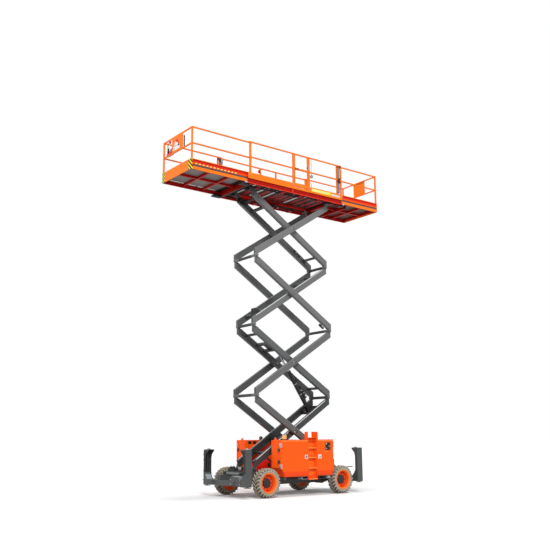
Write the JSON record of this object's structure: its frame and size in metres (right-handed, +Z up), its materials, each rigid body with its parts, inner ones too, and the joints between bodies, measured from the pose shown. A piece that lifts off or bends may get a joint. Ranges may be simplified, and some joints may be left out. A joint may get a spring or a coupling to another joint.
{
  "type": "scissor lift",
  "caption": "Rough-terrain scissor lift with stacked arm pairs, railed extending platform, steered wheels, outrigger jacks and side cover boxes with doors.",
  "frame": {"origin": "on the ground, below the middle of the fully extended platform", "axes": "+Z up, -X towards the front (steered) end, -Y towards the left side with the entry gate and ladder"},
  "size_m": [7.665, 2.302, 10.78],
  "materials": {
    "frame_grey": "satin dark grey paint",
    "body_orange": "gloss orange paint",
    "rim_orange": "satin orange paint",
    "tyre": "dusty rubber",
    "arm_grey": "satin mid-grey paint",
    "cylinder_black": "gloss black paint",
    "rod_chrome": "polished",
    "jack_black": "black paint",
    "beacon_amber": "clear amber",
    "deck_red": "satin dark red paint",
    "platform_orange": "gloss orange paint"
  },
  "bodies": {
    "chassis": {"chassis_frame": "frame_grey", "left_box": "body_orange", "right_box": "body_orange", "engine": "cylinder_black", "beacon": "beacon_amber", "rear_axle": "frame_grey", "front_axle": "frame_grey", "front_outriggers": "frame_grey", "rear_outriggers": "frame_grey"},
    "inner_arms_1": {"inner_arms_1": "arm_grey"},
    "outer_arms_1": {"outer_arms_1": "arm_grey"},
    "inner_arms_2": {"inner_arms_2": "arm_grey"},
    "outer_arms_2": {"outer_arms_2": "arm_grey"},
    "inner_arms_3": {"inner_arms_3": "arm_grey"},
    "outer_arms_3": {"outer_arms_3": "arm_grey"},
    "inner_arms_4": {"inner_arms_4": "arm_grey"},
    "outer_arms_4": {"outer_arms_4": "arm_grey"},
    "platform": {"platform_frame": "deck_red", "left_rails": "platform_orange", "right_rails": "platform_orange"},
    "entry_gate": {"entry_gate": "platform_orange"},
    "front_extension": {"front_extension": "platform_orange", "front_extension_rails": "platform_orange"},
    "rear_extension": {"rear_extension": "platform_orange", "rear_extension_rails": "platform_orange"},
    "cylinder_barrel": {"cylinder_barrel": "cylinder_black"},
    "cylinder_rod": {"cylinder_rod": "rod_chrome"},
    "left_knuckle": {"left_knuckle": "frame_grey"},
    "right_knuckle": {"right_knuckle": "frame_grey"},
    "left_front_door": {"left_front_door": "body_orange"},
    "left_rear_door": {"left_rear_door": "body_orange"},
    "right_front_door": {"right_front_door": "body_orange"},
    "right_rear_door": {"right_rear_door": "body_orange"},
    "left_front_jack": {"left_front_jack": "jack_black"},
    "left_rear_jack": {"left_rear_jack": "jack_black"},
    "right_front_jack": {"right_front_jack": "jack_black"},
    "right_rear_jack": {"right_rear_jack": "jack_black"},
    "left_front_wheel": {"left_front_tyre": "tyre", "left_front_rim": "rim_orange"},
    "left_rear_wheel": {"left_rear_tyre": "tyre", "left_rear_rim": "rim_orange"},
    "right_front_wheel": {"right_front_tyre": "tyre", "right_front_rim": "rim_orange"},
    "right_rear_wheel": {"right_rear_tyre": "tyre", "right_rear_rim": "rim_orange"}
  },
  "joints": [
    {"name": "scissor_lift", "type": "hinge", "parent": "chassis", "child": "inner_arms_1", "pos_m": [-1.256, 0, 0.805], "axis": [0, -1, 0], "range_deg": [-31.8, 26.4]},
    {"name": "centre_pin_1", "type": "hinge", "parent": "inner_arms_1", "child": "outer_arms_1", "pos_m": [0.21899, 0, 1.88058], "axis": [0, -1, 0], "range_deg": [-53.3, 64.1]},
    {"name": "front_pin_1", "type": "hinge", "parent": "outer_arms_1", "child": "outer_arms_2", "pos_m": [-1.256, 0, 2.95616], "axis": [0, -1, 0], "range_deg": [-64.1, 53.3]},
    {"name": "centre_pin_2", "type": "hinge", "parent": "outer_arms_2", "child": "inner_arms_2", "pos_m": [0.21899, 0, 4.03173], "axis": [0, -1, 0], "range_deg": [-53.3, 64.1]},
    {"name": "front_pin_2", "type": "hinge", "parent": "inner_arms_2", "child": "inner_arms_3", "pos_m": [-1.256, 0, 5.10731], "axis": [0, -1, 0], "range_deg": [-64.1, 53.3]},
    {"name": "centre_pin_3", "type": "hinge", "parent": "inner_arms_3", "child": "outer_arms_3", "pos_m": [0.21899, 0, 6.18289], "axis": [0, -1, 0], "range_deg": [-53.3, 64.1]},
    {"name": "front_pin_3", "type": "hinge", "parent": "outer_arms_3", "child": "outer_arms_4", "pos_m": [-1.256, 0, 7.25847], "axis": [0, -1, 0], "range_deg": [-64.1, 53.3]},
    {"name": "centre_pin_4", "type": "hinge", "parent": "outer_arms_4", "child": "inner_arms_4", "pos_m": [0.21899, 0, 8.33405], "axis": [0, -1, 0], "range_deg": [-53.3, 64.1]},
    {"name": "platform_pin", "type": "hinge", "parent": "inner_arms_4", "child": "platform", "pos_m": [-1.256, 0, 9.40962], "axis": [0, -1, 0], "range_deg": [-32.3, 26.9]},
    {"name": "cylinder_pitch", "type": "hinge", "parent": "inner_arms_1", "child": "cylinder_barrel", "pos_m": [1.12866, 0, 2.69863], "axis": [0, -1, 0], "range_deg": [-56.58, 68.05]},
    {"name": "cylinder_stroke", "type": "slide", "parent": "cylinder_barrel", "child": "cylinder_rod", "axis": [-0.5582, 0, 0.8297], "range_m": [-0.539, 0.448]},
    {"name": "front_extension_slide", "type": "slide", "parent": "platform", "child": "front_extension", "axis": [-1, 0, 0], "range_m": [-1.6, 0]},
    {"name": "rear_extension_slide", "type": "slide", "parent": "platform", "child": "rear_extension", "axis": [1, 0, 0], "range_m": [-1.15, 0]},
    {"name": "entry_gate_swing", "type": "hinge", "parent": "platform", "child": "entry_gate", "pos_m": [0.0265, -0.858, 10.2], "axis": [0, 0, 1], "range_deg": [0, 90]},
    {"name": "left_steering", "type": "hinge", "parent": "chassis", "child": "left_knuckle", "pos_m": [-1.2545, -0.79, 0.419], "axis": [0, 0, 1], "range_deg": [-25, 25]},
    {"name": "left_front_wheel_spin", "type": "hinge", "parent": "left_knuckle", "child": "left_front_wheel", "pos_m": [-1.2545, -1, 0.419], "axis": [0, 1, 0], "continuous": true},
    {"name": "left_rear_wheel_spin", "type": "hinge", "parent": "chassis", "child": "left_rear_wheel", "pos_m": [1.6165, -1, 0.419], "axis": [0, 1, 0], "continuous": true},
    {"name": "right_steering", "type": "hinge", "parent": "chassis", "child": "right_knuckle", "pos_m": [-1.2545, 0.79, 0.419], "axis": [0, 0, 1], "range_deg": [-25, 25]},
    {"name": "right_front_wheel_spin", "type": "hinge", "parent": "right_knuckle", "child": "right_front_wheel", "pos_m": [-1.2545, 1, 0.419], "axis": [0, 1, 0], "continuous": true},
    {"name": "right_rear_wheel_spin", "type": "hinge", "parent": "chassis", "child": "right_rear_wheel", "pos_m": [1.6165, 1, 0.419], "axis": [0, 1, 0], "continuous": true},
    {"name": "left_front_door_swing", "type": "hinge", "parent": "chassis", "child": "left_front_door", "pos_m": [-0.779, -1.132, 1.166], "axis": [0, 0, -1], "range_deg": [0, 100]},
    {"name": "left_rear_door_swing", "type": "hinge", "parent": "chassis", "child": "left_rear_door", "pos_m": [1.231, -1.132, 1.166], "axis": [0, 0, 1], "range_deg": [0, 100]},
    {"name": "right_front_door_swing", "type": "hinge", "parent": "chassis", "child": "right_front_door", "pos_m": [-0.779, 1.132, 1.166], "axis": [0, 0, 1], "range_deg": [0, 100]},
    {"name": "right_rear_door_swing", "type": "hinge", "parent": "chassis", "child": "right_rear_door", "pos_m": [1.231, 1.132, 1.166], "axis": [0, 0, -1], "range_deg": [0, 100]},
    {"name": "left_front_jack_slide", "type": "slide", "parent": "chassis", "child": "left_front_jack", "axis": [0, 0, -1], "range_m": [0, 0.38]},
    {"name": "left_rear_jack_slide", "type": "slide", "parent": "chassis", "child": "left_rear_jack", "axis": [0, 0, -1], "range_m": [0, 0.38]},
    {"name": "right_front_jack_slide", "type": "slide", "parent": "chassis", "child": "right_front_jack", "axis": [0, 0, -1], "range_m": [0, 0.38]},
    {"name": "right_rear_jack_slide", "type": "slide", "parent": "chassis", "child": "right_rear_jack", "axis": [0, 0, -1], "range_m": [0, 0.38]}
  ],
  "couplings": [
    {"joint": "centre_pin_1", "follows": "scissor_lift", "ratio": -2},
    {"joint": "front_pin_1", "follows": "scissor_lift", "ratio": 2},
    {"joint": "centre_pin_2", "follows": "scissor_lift", "ratio": -2},
    {"joint": "front_pin_2", "follows": "scissor_lift", "ratio": 2},
    {"joint": "centre_pin_3", "follows": "scissor_lift", "ratio": -2},
    {"joint": "front_pin_3", "follows": "scissor_lift", "ratio": 2},
    {"joint": "centre_pin_4", "follows": "scissor_lift", "ratio": -2},
    {"joint": "platform_pin", "follows": "scissor_lift", "ratio": 1},
    {"joint": "cylinder_pitch", "follows": "scissor_lift", "ratio": -2.1243},
    {"joint": "cylinder_stroke", "follows": "scissor_lift", "m_per_rad": 0.9625},
    {"joint": "right_steering", "follows": "left_steering", "ratio": 1}
  ]
}
